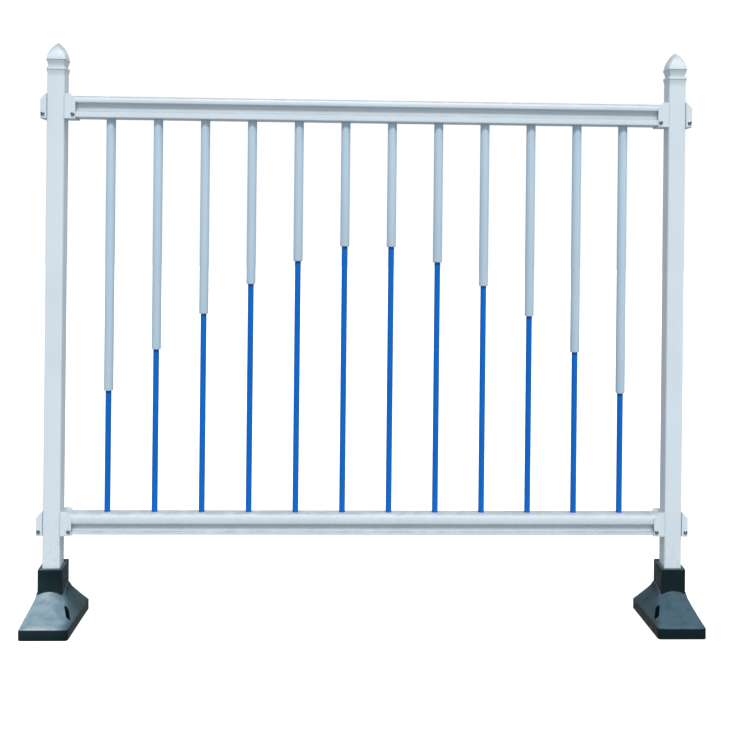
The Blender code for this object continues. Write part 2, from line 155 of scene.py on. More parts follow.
# Studio
ROOM_ABOVE = 0.62
ROOM_BELOW = 0.40
CAMERA_HEIGHT = 0.79
CAMERA_BACK = 2.0988
CAMERA_ACROSS = -0.0699
CAMERA_YAW = 0.0333
CAMERA_ROLL = 0.0105
CAMERA_LENS = 47.986
CAMERA_SHIFT = (0.0093, -0.1764)
FLOOR_HALF = 30.0
FLOOR_DROP = 0.0005
FLOOR_GLOW = 0.78
SEEN_ROOM = 1.02
ROOM_TINT = (0.92, 0.97, 1.0, 1.0)
AIM_AT = (0.0, 0.0, 0.5)
SUN_DISTANCE = 4.0
TOE_LAMP_AIM = (-0.666, -0.070, 0.040)
TOE_LAMP_TINT = (1.0, 0.76, 0.68)


# ---- meshes -------------------------------------------------------------------------------------


def new_mesh(name, mesh_bm):
    bmesh.ops.recalc_face_normals(mesh_bm, faces=mesh_bm.faces)
    mesh = bpy.data.meshes.new(name)
    mesh_bm.to_mesh(mesh)
    mesh_bm.free()
    mesh.shade_smooth()
    mesh.set_sharp_from_angle(angle=FLAT_ANGLE)
    return mesh


def loft(name, loops, ring=False):
    """A solid through loops of equally many points. A ring joins its last loop to its first."""
    mesh_bm = bmesh.new()
    rows = [[mesh_bm.verts.new(point) for point in loop] for loop in loops]
    pairs = list(zip(rows, rows[1:]))
    if ring:
        pairs.append((rows[-1], rows[0]))
    else:
        mesh_bm.faces.new(rows[0])
        mesh_bm.faces.new(rows[-1])
    for lower, upper in pairs:
        for i in range(len(lower)):
            j = (i + 1) % len(lower)
            mesh_bm.faces.new((lower[i], lower[j], upper[j], upper[i]))
    return new_mesh(name, mesh_bm)


def circle(radius, z, sides=ROUND):
    step = 2 * pi / sides
    return [(radius * cos((i + 0.5) * step), radius * sin((i + 0.5) * step), z) for i in range(sides)]


def rounded_square(half, corner, z, sides=ROUND):
    """A square with rounded corners, its points in the same order as those of circle()."""
    points = []
    per_corner = sides // 4
    for quarter in range(4):
        sign_x = 1 if quarter in (0, 3) else -1
        sign_y = 1 if quarter in (0, 1) else -1
        for step in range(per_corner):
            angle = quarter * pi / 2 + step / (per_corner - 1) * pi / 2
            x = sign_x * (half - corner) + corner * cos(angle)
            y = sign_y * (half - corner) + corner * sin(angle)
            points.append((x, y, z))
    return points


def edge_steps(radius, steps=4):
    """(inset, height) pairs along a quarter round that turns from a face into a wall."""
    pairs = []
    for i in range(steps + 1):
        angle = i / steps * pi / 2
        pairs.append((radius * (1 - sin(angle)), radius * (1 - cos(angle))))
    return pairs


def add_piece(name, mesh, material, nodes, at=(0.0, 0.0, 0.0)):
    """A piece that stands for the named CAD nodes and rides with their body."""
    piece = bpy.data.objects.new(name, moved(mesh, *at))
    bpy.context.scene.collection.objects.link(piece)
    mesh.materials.append(material)
    for body, members in frame["record"]["behaviour"]["bodies"].items():
        if nodes[0] in members:
            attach(piece, body)
    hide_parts(*nodes)
    return piece


def combined(mesh, other, operation):
    """A mesh with another mesh joined to it or cut out of it."""
    base = bpy.data.objects.new("base", mesh)
    tool = bpy.data.objects.new("tool", other)
    bpy.context.scene.collection.objects.link(base)
    bpy.context.scene.collection.objects.link(tool)
    modifier = base.modifiers.new("combine", "BOOLEAN")
    modifier.operation = operation
    modifier.solver = "EXACT"
    modifier.object = tool
    result = bpy.data.meshes.new_from_object(base.evaluated_get(bpy.context.evaluated_depsgraph_get()))
    bpy.data.objects.remove(base)
    bpy.data.objects.remove(tool)
    result.shade_smooth()
    result.set_sharp_from_angle(angle=FLAT_ANGLE)
    return result


def cut(mesh, *cutters):
    for cutter in cutters:
        mesh = combined(mesh, cutter, "DIFFERENCE")
    return mesh


def moved(mesh, x=0.0, y=0.0, z=0.0):
    mesh.transform(Matrix.Translation((x, y, z)))
    return mesh


def rod_along(axis, radius, start, end, sides=SMALL_ROUND):
    turn = {"X": Matrix.Rotation(pi / 2, 4, "Y"), "Y": Matrix.Rotation(-pi / 2, 4, "X"), "Z": Matrix()}
    mesh = loft("rod", [circle(radius, start, sides), circle(radius, end, sides)])
    mesh.transform(turn[axis])
    return mesh


def block(low, high):
    corners = [(low[0], low[1]), (high[0], low[1]), (high[0], high[1]), (low[0], high[1])]
    return loft("block", [[(x, y, z) for x, y in corners] for z in (low[2], high[2])])


def centre_of(node):
    low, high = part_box(node)
    return (low + high) / 2


# ---- materials ----------------------------------------------------------------------------------


class Shader:
    """A material's node tree, with short calls to add its nodes."""

    def __init__(self, name):
        self.material = bpy.data.materials.new(name)
        self.material.use_nodes = True
        self.tree = self.material.node_tree
        self.surface = self.tree.nodes["Principled BSDF"]
        self.place = self.add("ShaderNodeTexCoord").outputs["Object"]

    def add(self, kind, inputs=None, **settings):
        node = self.tree.nodes.new(kind)
        for key, value in settings.items():
            setattr(node, key, value)
        for key, value in (inputs or {}).items():
            if isinstance(value, bpy.types.NodeSocket):
                self.tree.links.new(value, node.inputs[key])
            else:
                node.inputs[key].default_value = value
        return node

    def stretched(self, x, y, z):
        return self.add("ShaderNodeMapping", {"Vector": self.place, "Scale": (x, y, z)}).outputs[0]

    def noise(self, scale, detail=3.0, vector=None, roughness=0.5):
        inputs = {"Vector": vector or self.place, "Scale": scale, "Detail": detail, "Roughness": roughness}
        return self.add("ShaderNodeTexNoise", inputs).outputs["Fac"]

    def remap(self, value, low, high, to_low=0.0, to_high=1.0):
        inputs = {"Value": value, "From Min": low, "From Max": high, "To Min": to_low, "To Max": to_high}
        return self.add("ShaderNodeMapRange", inputs, interpolation_type="SMOOTHSTEP").outputs["Result"]

    def times(self, first, second):
        return self.add("ShaderNodeMath", {0: first, 1: second}, operation="MULTIPLY").outputs[0]

    def mix(self, share, first, second):
        """A blend of two colours, each a colour or a socket."""
        sockets = []
        for value in (first, second):
            sockets.append(value if isinstance(value, bpy.types.NodeSocket) else (*value, 1.0))
        node = self.add("ShaderNodeMix", {0: share, 6: sockets[0], 7: sockets[1]}, data_type="RGBA")
        return node.outputs[2]

    def height(self):
        return self.add("ShaderNodeSeparateXYZ", {"Vector": self.place}).outputs["Z"]

    def facing_up(self, low, high):
        normal = self.add("ShaderNodeNewGeometry").outputs["Normal"]
        up = self.add("ShaderNodeSeparateXYZ", {"Vector": normal}).outputs["Z"]
        return self.remap(up, low, high)

    def edges(self, radius, low=0.02, high=0.22):
        """1 on edges and corners, found by how much a rounded normal differs from the true one."""
        soft = self.add("ShaderNodeBevel", {"Radius": radius}, samples=6).outputs["Normal"]
        true = self.add("ShaderNodeNewGeometry").outputs["Normal"]
        same = self.add("ShaderNodeVectorMath", {0: soft, 1: true}, operation="DOT_PRODUCT").outputs["Value"]
        apart = self.add("ShaderNodeMath", {0: 1.0, 1: same}, operation="SUBTRACT").outputs[0]
        return self.remap(apart, low, high)

    def bump(self, height, strength, distance, normal=None):
        inputs = {"Height": height, "Strength": strength, "Distance": distance}
        if normal is not None:
            inputs["Normal"] = normal
        return self.add("ShaderNodeBump", inputs).outputs["Normal"]

    def finish(self, color, roughness, normal, **constants):
        self.tree.links.new(color, self.surface.inputs["Base Color"])
        self.tree.links.new(roughness, self.surface.inputs["Roughness"])
        self.tree.links.new(normal, self.surface.inputs["Normal"])
        for key, value in constants.items():
            self.surface.inputs[key.replace("_", " ")].default_value = value
        return self.material


def paint(name, color, dim_color, worn_color, grime_color, dust_and_shade_color, specular):
    """Powder coat: orange peel, rain streaks, dust and painted shade on top, grime towards the ground and
    worn edges.
    """
    s = Shader(name)
    cloud = s.remap(s.noise(7.0, 4.0), 0.35, 0.68)
    streak = s.remap(s.noise(1.0, 5.0, s.stretched(150.0, 150.0, 5.0)), 0.50, 0.72, 0.0, 0.45)
    shade = s.mix(s.times(cloud, 0.45), color, dim_color)
    shade = s.mix(s.times(streak, 0.4), shade, dim_color)
    low_down = s.remap(s.height(), 0.34, 0.09)
    splash = s.remap(s.noise(95.0, 6.0, roughness=0.65), 0.47, 0.66)
    shade = s.mix(s.times(s.times(low_down, splash), 0.20), shade, grime_color)
    dust_and_shade_film = s.remap(s.noise(34.0, 5.0, roughness=0.6), 0.25, 0.65, 0.72, 0.95)
    # Dust and painted shade: faces that point up are darkened towards the dust colour, which also dims the
    # brightly lit tops.
    shade = s.mix(s.times(s.facing_up(0.05, 0.80), dust_and_shade_film), shade, dust_and_shade_color)
    speck = s.remap(s.noise(420.0, 2.0), 0.70, 0.76, 0.0, 0.18)
    shade = s.mix(speck, shade, grime_color)
    chipped = s.times(s.edges(0.0008), s.remap(s.noise(160.0, 5.0, roughness=0.7), 0.54, 0.64))
    shade = s.mix(s.times(chipped, 0.40), shade, worn_color)
    rough = s.remap(s.noise(38.0, 4.0), 0.30, 0.72, 0.32, 0.48)
    peel = s.bump(s.noise(620.0, 2.0), 0.16, 0.0006)
    wave = s.bump(s.noise(30.0, 2.0), 0.10, 0.0015, peel)
    return s.finish(shade, rough, wave, Specular_IOR_Level=specular)


def casting():
    """Painted cast iron: a sandy skin, paler dust and painted sheen on what faces up, and edges rubbed
    bright.
    """
    s = Shader("cast_iron_look")
    black, brown_black = (0.0010, 0.0105, 0.0130), (0.0035, 0.0115, 0.0145)
    dust_and_sheen, rubbed = (0.042, 0.080, 0.106), (0.045, 0.065, 0.080)
    patch = s.remap(s.noise(26.0, 5.0), 0.36, 0.66)
    shade = s.mix(patch, black, brown_black)
    dust_and_sheen_grain = s.remap(s.noise(48.0, 6.0, roughness=0.6), 0.22, 0.62, 0.55, 0.95)
    # Dust and painted sheen: faces that point up are made paler, standing in for the light they catch from
    # above.
    shade = s.mix(s.times(s.facing_up(0.35, 0.80), dust_and_sheen_grain), shade, dust_and_sheen)
    worn = s.times(s.edges(0.0016), s.remap(s.noise(130.0, 5.0, roughness=0.7), 0.48, 0.64))
    shade = s.mix(s.times(worn, 0.40), shade, rubbed)
    rough = s.remap(s.noise(70.0, 4.0), 0.30, 0.70, 0.38, 0.54)
    sand = s.bump(s.noise(950.0, 3.0, roughness=0.6), 0.22, 0.0005)
    cast = s.bump(s.noise(120.0, 4.0), 0.16, 0.0012, sand)
    return s.finish(shade, rough, cast, Specular_IOR_Level=0.15)


def zinc():
    """Dull zinc plate: cloudy grey with fine turning marks."""
    s = Shader("zinc_steel_look")
    cloud = s.remap(s.noise(260.0, 4.0), 0.32, 0.68)
    shade = s.mix(cloud, (0.205, 0.235, 0.262), (0.345, 0.375, 0.400))
    stain = s.remap(s.noise(620.0, 3.0), 0.56, 0.72, 0.0, 0.7)
    shade = s.mix(stain, shade, (0.120, 0.105, 0.085))
    rough = s.remap(s.noise(900.0, 3.0), 0.30, 0.70, 0.30, 0.52)
    marks = s.bump(s.noise(1.0, 3.0, s.stretched(1600.0, 1600.0, 5200.0)), 0.18, 0.0003)
    return s.finish(shade, rough, marks, Metallic=0.9)


WHITE_WEAR_AND_SHADE = {
    "worn_color": (0.330, 0.350, 0.360),
    "grime_color": (0.330, 0.330, 0.300),
    # dust and painted shade on what faces up
    "dust_and_shade_color": (0.270, 0.305, 0.330),
    "specular": 0.3,
}
WHITE = paint(
    "white_paint_look",
    color=(0.660, 0.735, 0.795),
    dim_color=(0.600, 0.680, 0.750),
    **WHITE_WEAR_AND_SHADE,
)
# Painted shade: the sleeves get a darker, bluer copy of the white paint, so that they look shaded beside the
# posts.
SHADED_SLEEVE_WHITE = paint(
    "shaded_white_sleeve_look",
    color=(0.500, 0.640, 0.755),
    dim_color=(0.455, 0.590, 0.710),
    **WHITE_WEAR_AND_SHADE,
)
BLUE = paint(
    "blue_paint_look",
    color=(0.002, 0.138, 0.560),
    dim_color=(0.001, 0.110, 0.480),
    worn_color=(0.300, 0.360, 0.420),
    grime_color=(0.110, 0.125, 0.140),
    # dust and painted shade on what faces up
    dust_and_shade_color=(0.060, 0.150, 0.330),
    specular=0.15,
)
IRON = casting()
ZINC = zinc()


# ---- feet ---------------------------------------------------------------------------------------


def arc_corner(corner, before, after, radius, count):
    """Points round a corner of a polygon, from the side that ends there to the side that starts there."""
    corner, before, after = Vector(corner), Vector(before), Vector(after)
    back = (before - corner).normalized()
    ahead = (after - corner).normalized()
    half_angle = back.angle(ahead) / 2
    reach = radius / tan(half_angle)
    middle = corner + (back + ahead).normalized() * (radius / sin(half_angle))
    start = corner + back * reach - middle
    end = corner + ahead * reach - middle
    turn = start.angle_signed(end)
    points = []
    for i in range(count):
        angle = -turn * i / (count - 1)
        points.append(middle + Matrix.Rotation(angle, 2) @ start)
    return points


def foot_stations(outline, collar):
    """Matching points round the plate and round the collar: corners as arcs, sides in even steps."""
    plate_points, collar_points = [], []
    count = len(outline)
    arcs = []
    for i in range(count):
        before, after = outline[i - 1], outline[(i + 1) % count]
        arc = arc_corner(outline[i], before, after, FOOT_CORNER, ARC)
        collar_corner, is_corner = collar[i]
        if is_corner:
            sign = Vector((1 if collar_corner[0] > 0 else -1, 1 if collar_corner[1] > 0 else -1))
            centre = Vector(collar_corner) - sign * COLLAR_CORNER
            middle_angle = atan2(sign.y, sign.x)
            ring = []
            for k in range(ARC):
                angle = middle_angle + (k / (ARC - 1) - 0.5) * pi / 2
                ring.append(centre + COLLAR_CORNER * Vector((cos(angle), sin(angle))))
        else:
            spread = Vector((-COLLAR_BACK_STEP, 0.0))
            ring = [Vector(collar_corner) + spread * (k - (ARC - 1) / 2) for k in range(ARC)]
        arcs.append((arc, ring))
    for i in range(count):
        arc, ring = arcs[i]
        next_arc, next_ring = arcs[(i + 1) % count]
        plate_points += arc
        collar_points += ring
        for k in range(1, PLATE_SIDE_STEPS):
            share = k / PLATE_SIDE_STEPS
            plate_points.append(arc[-1].lerp(next_arc[0], share))
            collar_points.append(ring[-1].lerp(next_ring[0], share))
    return plate_points, collar_points


def inset_points(points, inset):
    """The points of a closed outline, counter-clockwise, moved inwards square to it."""
    moved_points = []
    count = len(points)
    for i in range(count):
        along = points[(i + 1) % count] - points[i - 1]
        inwards = Vector((-along.y, along.x)).normalized()
        moved_points.append(points[i] + inwards * inset)
    return moved_points


def foot_outline(toe, heel):
    """The plate's corners for a foot whose inner side is towards +X, counter-clockwise."""
    return [
        (-FOOT_TOE_OUTER, -toe),
        (FOOT_TOE_INNER, -toe),
        FOOT_BEND_INNER,
        (FOOT_HEEL_HALF, heel),
        (-FOOT_HEEL_HALF, heel),
        (-FOOT_BEND_OUTER[0], FOOT_BEND_OUTER[1]),
    ]


def collar_corners():
    """The collar's point for each of the plate's corners, and whether it is a corner of the collar."""
    half, back = COLLAR_HALF, COLLAR_BACK
    return [
        ((-half, -half), True),
        ((half, -half), True),
        ((half, back), True),
        ((half / 2, back), False),
        ((-half / 2, back), False),
        ((-half, back), True),
    ]


def share_back(p):
    """0 at the collar's front face and 1 at its back."""
    return (p.y + COLLAR_HALF) / (COLLAR_BACK + COLLAR_HALF)


def collar_foot_height(p):
    """Height at which a flank meets the collar: raised in each side's middle and towards the back."""
    depth = (COLLAR_BACK + COLLAR_HALF) / 2
    across = min(abs(p.x) / COLLAR_HALF, abs(p.y - (COLLAR_BACK - COLLAR_HALF) / 2) / depth)
    return COLLAR_FOOT_Z + COLLAR_CROWN * (1 - across**2) + COLLAR_FOOT_RISE * share_back(p)


def foot_mesh(toe, heel, socket_half):
    """The casting, from its underside up over the plate, flanks and collar and down into the socket."""
    plate, ring = foot_stations(foot_outline(toe, heel), collar_corners())

    def at(points, heights):
        return [(p.x, p.y, z) for p, z in zip(points, heights)]

    def level(points, z):
        return at(points, [z] * len(points))

    def under_rim(points, drop):
        return at(points, [COLLAR_TOP + COLLAR_RISE * share_back(p) - drop for p in points])

    loops = []
    for inset, height in edge_steps(FOOT_BOTTOM_EDGE, 3):
        loops.append(level(inset_points(plate, inset), height))
    rounding = [(inset, FOOT_PLATE - height) for inset, height in edge_steps(FOOT_TOP_EDGE, 4)]
    for inset, height in reversed(rounding[2:]):
        loops.append(level(inset_points(plate, inset), height))
    shoulder, shoulder_z = rounding[2]
    upper = inset_points(plate, shoulder)
    foot_heights = [collar_foot_height(p) for p in ring]
    for k in range(1, FLANK_STEPS):
        share = k / FLANK_STEPS
        sag = FOOT_FLANK_SAG * sin(share * pi)
        points = [a.lerp(b, share * FLANK_REACH) for a, b in zip(upper, ring)]
        ends = [z - FOOT_FILLET * FLANK_DROP for z in foot_heights]
        heights = [shoulder_z + (z - shoulder_z) * share - sag for z in ends]
        loops.append(at(points, heights))
    for angle in FILLET_ANGLES:
        out = FOOT_FILLET * (1 - sin(radians(angle)))
        up = FOOT_FILLET * (1 - cos(radians(angle)))
        loops.append(at(inset_points(ring, -out), [z + up for z in foot_heights]))
    for inset, height in reversed(edge_steps(COLLAR_EDGE, 4)):
        loops.append(under_rim(inset_points(ring, inset), height))
    deep = COLLAR_HALF - socket_half
    squeeze = 2 * socket_half / (COLLAR_BACK + COLLAR_HALF - 2 * deep)
    hollow = [Vector((p.x, (p.y + socket_half) * squeeze - socket_half)) for p in inset_points(ring, deep)]
    for inset, height in edge_steps(COLLAR_EDGE / 2, 3):
        loops.append(under_rim(inset_points(hollow, -inset), height))
    loops.append(level(hollow, SOCKET_FLOOR))
    return loft("foot", loops)


def slot_cutter(high):
    """A slot with round ends that runs along the ridge on the foot's inner side."""
    straight = SLOT_LENGTH / 2 - SLOT_RADIUS
    rows = []
    for z in (-0.01, high):
        rim = circle(SLOT_RADIUS, z, SMALL_ROUND)
        rows.append([(x, y + (straight if y > 0 else -straight), z) for x, y, z in rim])
    mesh = loft("slot", rows)
    mesh.transform(Matrix.Rotation(SLOT_TURN, 4, "Z"))
    return moved(mesh, *SLOT_AT)


def make_foot(side):
    node = f"{side}_foot"
    low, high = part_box(node)
    post_low, post_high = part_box(f"{side}_post")
    middle = (post_low + post_high) / 2
    mesh = foot_mesh(middle.y - low.y, high.y - middle.y, (post_high.x - post_low.x) / 2 + GAP)
    hole_start, hole_end = (COLLAR_BACK + offset for offset in SET_SCREW_HOLE)
    hole = rod_along("Y", SET_SCREW_RADIUS + HOLE_PLAY, hole_start, hole_end)
    screw = centre_of(f"{side}_foot_set_screw")
    mesh = cut(mesh, slot_cutter(high.z), moved(hole, z=screw.z))
    if SIDES[side] > 0:
        mesh.transform(Matrix.Scale(-1, 4, (1, 0, 0)))
        mesh.flip_normals()
    add_piece(f"{side}_foot_casting", mesh, IRON, [node], (middle.x, middle.y, 0.0))


# ---- posts and caps -----------------------------------------------------------------------------


def make_post(side):
    node = f"{side}_post"
    low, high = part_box(node)
    middle = (low + high) / 2
    half = (high.x - low.x) / 2
    inner, corner = half - POST_WALL, POST_CORNER - POST_WALL / 2
    loops = [
        rounded_square(half, POST_CORNER, low.z),
        rounded_square(half, POST_CORNER, high.z),
        rounded_square(inner, corner, high.z),
        rounded_square(inner, corner, low.z),
    ]
    holes = []
    for level_name in LEVELS:
        bolt = centre_of(f"{side}_{level_name}_post_bolt")
        holes.append(moved(rod_along("X", BOLT_RADIUS + HOLE_PLAY, -2 * half, 2 * half), z=bolt.z))
    mesh = cut(loft("post", loops, ring=True), *holes)
    add_piece(f"{side}_post_tube", mesh, WHITE, [node], (middle.x, middle.y, 0.0))


def cove(start, end, steps=8):
    """(half width, height) pairs of a slightly hollow curve that widens upwards."""
    pairs = []
    for i in range(steps + 1):
        share = i / steps
        half = start[0] + (end[0] - start[0]) * share**CAP_COVE_POWER
        pairs.append((half, start[1] + (end[1] - start[1]) * share))
    return pairs


def rounded_band(half, low, high, edge):
    """(half width, height) pairs of an upright band whose two edges are rounded."""
    pairs = [(half - inset, low + up) for inset, up in edge_steps(edge)]
    return pairs + [(half - inset, high - up) for inset, up in reversed(edge_steps(edge))]


def make_cap(side):
    node = f"{side}_post_cap"
    low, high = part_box(node)
    middle = (low + high) / 2
    post_low, post_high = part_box(f"{side}_post")
    spigot = (post_high.x - post_low.x) / 2 - POST_WALL - GAP
    base = post_high.z + GAP
    loops = [
        rounded_square(spigot - CAP_EDGE, CAP_SPIGOT_CORNER, low.z),
        rounded_square(spigot, CAP_SPIGOT_CORNER, low.z + CAP_EDGE),
        rounded_square(spigot, CAP_SPIGOT_CORNER, base),
    ]
    profile = cove(*CAP_LOWER_COVE) + rounded_band(*CAP_BEAD, CAP_EDGE)
    profile += cove(*CAP_UPPER_COVE) + rounded_band(*CAP_FLANGE, CAP_EDGE)[:-1]
    for half, up in profile:
        loops.append(rounded_square(half, CAP_CORNER, base + up))
    dome_low = base + CAP_FLANGE[2]
    for i in range(CAP_DOME_STEPS):
        share = i / CAP_DOME_STEPS
        half = CAP_DOME_HALF * (1 - share**2) ** CAP_DOME_POWER
        corner = CAP_CORNER + (half - CAP_CORNER) * share
        loops.append(rounded_square(half, corner, dome_low + (high.z - dome_low) * share))
    loops.append(circle(CAP_TIP_RADIUS, high.z))
    add_piece(f"{side}_cap_dome", loft("cap", loops), WHITE, [node], (middle.x, middle.y, 0.0))


# ---- rails --------------------------------------------------------------------------------------


def rail_flank(band, height, half_depth, inset):
    """Points down one side of a rail's section: rounded shoulder, sunk band, ledge and lower corner."""
    half = half_depth - inset
    radius = RAIL_SHOULDER - inset
    points = []
    for i in range(9):
        angle = pi / 2 * (1 - i / 8)
        points.append((half - radius + radius * cos(angle), -RAIL_SHOULDER + radius * sin(angle)))
    top, bottom = inset - band[0], -inset - band[1]
    points += [
        (half, top + 0.0006),
        (half - 0.0002, top + 0.0001),
        (half - 0.0008, top - 0.0001),
        (half - RAIL_SINK_TOP + 0.0006, top - 0.0002),
        (half - RAIL_SINK_TOP, top - 0.0008),
        (half - RAIL_SINK_BOTTOM - 0.0001, bottom + 0.0008),
        (half - RAIL_SINK_BOTTOM + 0.0006, bottom - 0.0001),
        (half - 0.0006, bottom - RAIL_LEDGE + 0.0005),
        (half, bottom - RAIL_LEDGE - 0.0002),
    ]
    corner = RAIL_FOOT_CORNER
    for i in range(5):
        angle = i / 4 * pi / 2
        y = half - corner + corner * cos(angle)
        points.append((y, inset - height + corner * (1 - sin(angle))))
    return points


def make_rail(level_name):
    node = f"{level_name}_rail"
    low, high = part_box(node)
    plane = (low.y + high.y) / 2
    height, half_depth = high.z - low.z, (high.y - low.y) / 2

    def section(inset, x):
        flank = rail_flank(RAIL_BANDS[level_name], height, half_depth, inset)
        return [(x, -y, z) for y, z in flank] + [(x, y, z) for y, z in reversed(flank)]

    loops = [section(0.0, low.x), section(0.0, high.x), section(RAIL_WALL, high.x), section(RAIL_WALL, low.x)]
    mesh = loft("rail", loops, ring=True)
    if level_name == "top":
        kind, wall = "sleeve", (-height - RAIL_WALL, -height + 2 * RAIL_WALL)
    else:
        kind, wall = "rod", (-2 * RAIL_WALL, RAIL_WALL)
    for number in BALUSTERS:
        bar_low, bar_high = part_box(f"baluster_{kind}_{number:02d}")
        radius = (bar_high.y - bar_low.y) / 2 + HOLE_PLAY
        hole = moved(rod_along("Z", radius, *wall), x=(bar_low.x + bar_high.x) / 2)
        mesh = cut(mesh, hole)
    for side in SIDES:
        screw = centre_of(f"{side}_{level_name}_inner_screw")
        hole = rod_along("Y", SCREW_RADIUS + HOLE_PLAY, -2 * half_depth, -half_depth / 2)
        mesh = cut(mesh, moved(hole, screw.x, 0.0, screw.z - high.z))
    add_piece(f"{level_name}_rail_tube", mesh, WHITE, [node], (0.0, plane, high.z))


# ---- balusters ----------------------------------------------------------------------------------


def make_balusters():
    for number in BALUSTERS:
        node = f"baluster_sleeve_{number:02d}"
        low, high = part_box(node)
        middle = (low + high) / 2
        radius = (high.y - low.y) / 2
        rod = f"baluster_rod_{number:02d}"
        rod_low, rod_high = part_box(rod)
        rod_radius = (rod_high.y - rod_low.y) / 2
        neck, inner = rod_radius + 2 * GAP, radius - SLEEVE_WALL
        loops = [circle(neck, low.z)]
        for inset, height in edge_steps(SLEEVE_EDGE, 4):
            loops.append(circle(radius - inset, low.z + height))
        loops += [
            circle(radius, high.z),
            circle(inner, high.z),
            circle(inner, low.z + SLEEVE_NECK + SLEEVE_WALL),
            circle(neck, low.z + SLEEVE_NECK),
        ]
        mesh = loft("sleeve", loops, ring=True)
        add_piece(f"upper_baluster_{number:02d}", mesh, SHADED_SLEEVE_WHITE, [node], (middle.x, middle.y, 0.0))
        bore = rod_radius - ROD_WALL
        ends = ((rod_radius, rod_low.z), (rod_radius, rod_high.z), (bore, rod_high.z), (bore, rod_low.z))
        loops = [circle(size, z) for size, z in ends]
        mesh = loft("rod", loops, ring=True)
        add_piece(f"lower_baluster_{number:02d}", mesh, BLUE, [rod], (middle.x, middle.y, 0.0))


# ---- brackets and fasteners ---------------------------------------------------------------------


def make_bracket(side, level_name, place):
    node = f"{side}_{level_name}_{place}_bracket"
    low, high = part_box(node)
    direction = SIDES[side] * (1 if place == "outer" else -1)
    face = low.x if direction > 0 else high.x
    reach = high.x - low.x
    plane = (low.y + high.y) / 2
    half = (high.y - low.y) / 2
    rail_low, rail_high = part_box(f"{level_name}_rail")
    middle = (rail_low.z + rail_high.z) / 2
    bottom, top = low.z - middle, high.z - middle
    along, down = BRACKET_SLOPE
    outline = [(0.0, bottom), (reach, bottom), (reach, top - down), (reach - along, top), (0.0, top)]
    near = [(direction * x, -half, z) for x, z in outline]
    far = [(direction * x, half, z) for x, z in outline]
    mesh = loft("bracket", [near, far])
    hollow = half - BRACKET_WALL
    shelf = rail_low.z - middle - BRACKET_PLAY
    ends = sorted((direction * BRACKET_PLATE, direction * 2 * reach))
    socket = block((ends[0], -hollow, shelf), (ends[1], hollow, 2 * top))
    bolt_hole = rod_along("X", BOLT_RADIUS + HOLE_PLAY, -2 * BRACKET_PLATE, 2 * BRACKET_PLATE)
    screw = centre_of(f"{side}_{level_name}_{place}_screw")
    screw_hole = rod_along("Y", SCREW_RADIUS + HOLE_PLAY, -3 * half, -hollow / 2)
    mesh = cut(mesh, socket, bolt_hole, moved(screw_hole, screw.x - face, 0.0, screw.z - middle))
    piece = add_piece(f"{side}_{level_name}_{place}_socket", mesh, WHITE, [node], (face, plane, middle))
    bevel = piece.modifiers.new("edges", "BEVEL")
    bevel.width = BRACKET_EDGE
    bevel.segments = 3
    bevel.limit_method = "ANGLE"
    bevel.angle_limit = radians(40)
    bevel.harden_normals = True


def domed(radius, height, start, sign):
    """Loops of a low domed head from its flat face at start, going up or down Z."""
    foot_share, foot_up = HEAD_FOOT
    loops = [
        circle(radius * foot_share, start, SMALL_ROUND),
        circle(radius, start + sign * height * foot_up, SMALL_ROUND),
    ]
    for i in range(HEAD_STEPS):
        angle = i / HEAD_STEPS * pi / 2
        up = height * (HEAD_RIM + (1 - HEAD_RIM) * sin(angle))
        loops.append(circle(radius * cos(angle) ** HEAD_POWER, start + sign * up, SMALL_ROUND))
    return loops


def make_screw(side, level_name, place):
    node = f"{side}_{level_name}_{place}_screw"
    low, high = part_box(node)
    middle = (low + high) / 2
    head = (high.x - low.x) / 2
    bracket_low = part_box(f"{side}_{level_name}_{place}_bracket")[0]
    seat = bracket_low.y - GAP
    head_height = seat - low.y
    loops = [circle(SCREW_RADIUS, z, SMALL_ROUND) for z in (seat - high.y, 0.0)]
    loops += domed(head, head_height, 0.0, 1)
    mesh = loft("screw", loops)
    recess = loft("recess", [hexagon(flats, head_height * up) for flats, up in SCREW_RECESS])
    mesh = cut(mesh, recess)
    mesh.transform(Matrix.Rotation(pi / 2, 4, "X"))
    add_piece(f"{side}_{level_name}_{place}_socket_screw", mesh, ZINC, [node], (middle.x, seat, middle.z))


def hexagon(flats, z):
    radius = flats / 2 / cos(pi / 6)
    return [(radius * cos(i * pi / 3), radius * sin(i * pi / 3), z) for i in range(6)]


